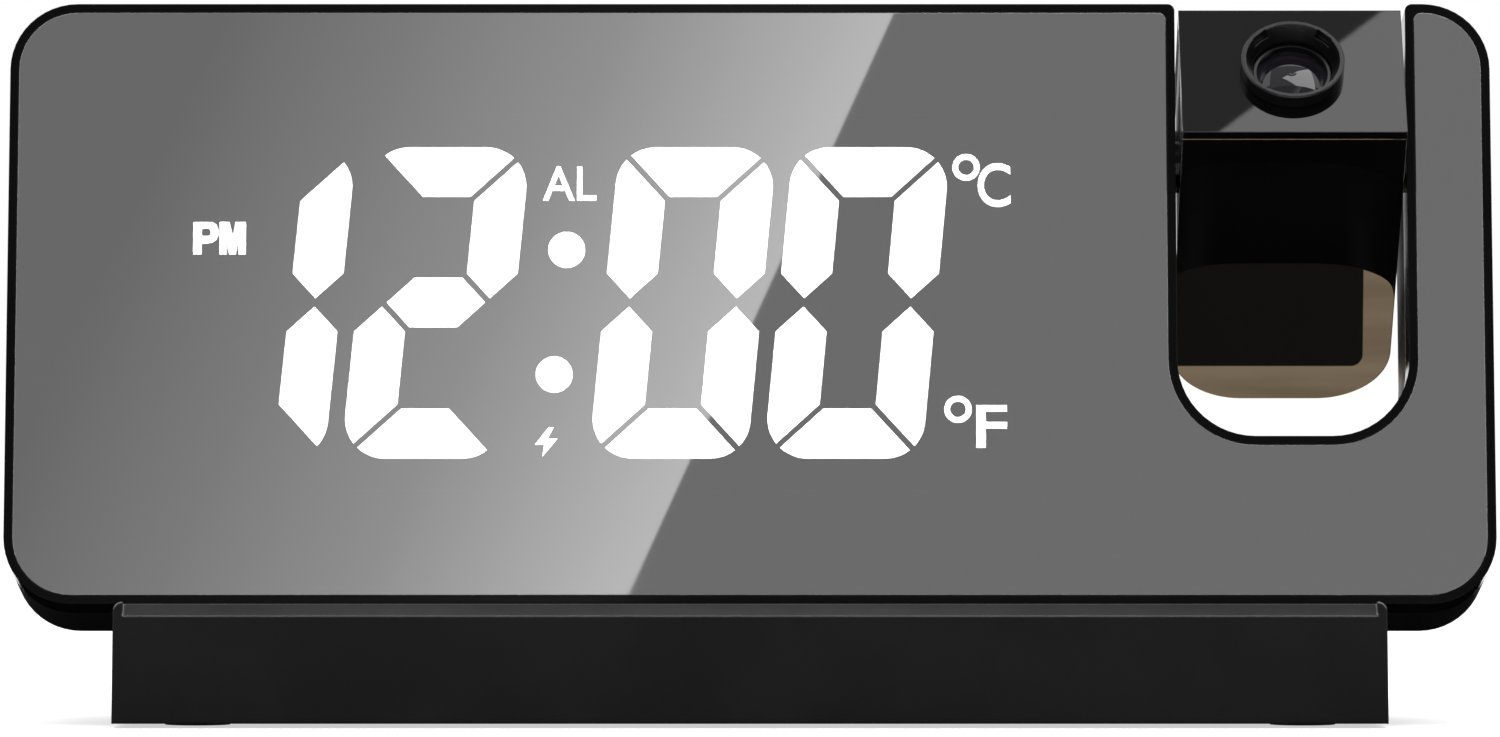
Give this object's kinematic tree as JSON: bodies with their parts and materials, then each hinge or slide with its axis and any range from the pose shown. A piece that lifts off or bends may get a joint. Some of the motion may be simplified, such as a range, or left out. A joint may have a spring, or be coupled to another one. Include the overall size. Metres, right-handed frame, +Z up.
{
  "type": "projection alarm clock",
  "caption": "Mirror-fronted digital alarm clock leaning on a wedge base, with a tilting projector head in a bay at its right.",
  "frame": {"origin": "on the floor, at the middle of the space that the clock takes up with its projector at the pictured tilt", "axes": "+X to the viewer's right along the mirror, +Y from the mirror to the back, +Z up"},
  "size_m": [0.188, 0.0592, 0.0915],
  "materials": {
    "half_mirror": "half-silvered acrylic, polished",
    "black_gloss": "piano-black moulded ABS",
    "black_satin": "fine-grained black moulded ABS",
    "steel_black": "black zinc plate",
    "steel_plain": "zinc plate",
    "lit_white": "milky light guide, lit",
    "unlit_guide": "milky light guide behind smoked film, dark",
    "masked_window": "diffuser behind a black film",
    "reflector_black": "matte black moulding",
    "circuit_green": "solder resist on glass-fibre board",
    "chip_black": "moulded epoxy",
    "speaker_grey": "pressed frame and paper cone",
    "jack_black": "moulded nylon",
    "port_steel": "tin-plated pressed steel",
    "button_black": "satin moulded ABS",
    "ring_black": "satin moulded acetal",
    "lens_glass": "polished and coated acrylic lens",
    "lamp_clear": "clear cast epoxy",
    "base_charcoal": "fine-grained charcoal moulded ABS",
    "foot_rubber": "soft moulded rubber",
    "cell_steel": "nickel-plated steel"
  },
  "bodies": {
    "case": {"front_mirror": "half_mirror", "front_case": "black_gloss", "rear_case": "black_satin", "case_screws": "steel_black", "hour_tens_digit": "lit_white", "hour_units_digit": "lit_white", "minute_tens_digit": "lit_white", "minute_units_digit": "lit_white", "unlit_bars": "unlit_guide", "colon_dots": "lit_white", "indicator_windows": "masked_window", "display_reflector": "reflector_black", "display_board": "circuit_green", "main_board": "circuit_green", "board_screws": "steel_plain", "control_chip": "chip_black", "tact_switches": "chip_black", "speaker": "speaker_grey", "power_board": "circuit_green", "dc_jack": "jack_black", "usb_port": "port_steel", "hinge_pins": "steel_plain", "hinge_clips": "steel_plain", "base_shell": "base_charcoal", "base_screws": "steel_plain", "base_plate": "black_satin", "rubber_feet": "foot_rubber", "plate_screws": "steel_black", "coin_holder": "jack_black", "coin_cell": "cell_steel", "battery_door": "black_satin"},
    "projector": {"projector_shell": "black_gloss", "projector_lid": "black_satin", "projector_screws": "steel_black", "end_plate": "black_gloss", "lens_barrel": "black_satin", "light_tunnel": "reflector_black", "image_slide": "masked_window", "projector_board": "circuit_green", "projector_lamp": "lamp_clear", "friction_washers": "steel_plain"},
    "focus_ring": {"focus_ring": "ring_black", "lens_cell": "ring_black", "projection_lens": "lens_glass"},
    "snooze_bar": {"snooze_bar": "button_black"},
    "mode_button": {"mode_button": "button_black"},
    "alarm_button": {"alarm_button": "button_black"},
    "up_button": {"up_button": "button_black"},
    "down_button": {"down_button": "button_black"},
    "projection_button": {"projection_button": "button_black"}
  },
  "joints": [
    {"name": "projector_tilt", "type": "hinge", "parent": "case", "child": "projector", "pos_m": [0.06865, -0.00344, 0.07153], "axis": [1, 0, 0], "range_deg": [-60.5, 119.5]},
    {"name": "focus_turn", "type": "hinge", "parent": "projector", "child": "focus_ring", "pos_m": [0.06865, -0.00331, 0.07168], "axis": [0, -0.7604, 0.6494], "range_deg": [-90, 90]},
    {"name": "mode_press", "type": "slide", "parent": "case", "child": "mode_button", "axis": [0, -0.9816, 0.1908], "range_m": [0, 0.0005], "stiffness_N_per_m": 800, "springref_m": -0.0005},
    {"name": "alarm_press", "type": "slide", "parent": "case", "child": "alarm_button", "axis": [0, -0.9816, 0.1908], "range_m": [0, 0.0005], "stiffness_N_per_m": 800, "springref_m": -0.0005},
    {"name": "up_press", "type": "slide", "parent": "case", "child": "up_button", "axis": [0, -0.9816, 0.1908], "range_m": [0, 0.0005], "stiffness_N_per_m": 800, "springref_m": -0.0005},
    {"name": "down_press", "type": "slide", "parent": "case", "child": "down_button", "axis": [0, -0.9816, 0.1908], "range_m": [0, 0.0005], "stiffness_N_per_m": 800, "springref_m": -0.0005},
    {"name": "projection_press", "type": "slide", "parent": "case", "child": "projection_button", "axis": [0, -0.9816, 0.1908], "range_m": [0, 0.0005], "stiffness_N_per_m": 800, "springref_m": -0.0005},
    {"name": "snooze_press", "type": "slide", "parent": "case", "child": "snooze_bar", "axis": [0, -0.1908, -0.9816], "range_m": [0, 0.0006], "stiffness_N_per_m": 800, "springref_m": -0.0005}
  ]
}
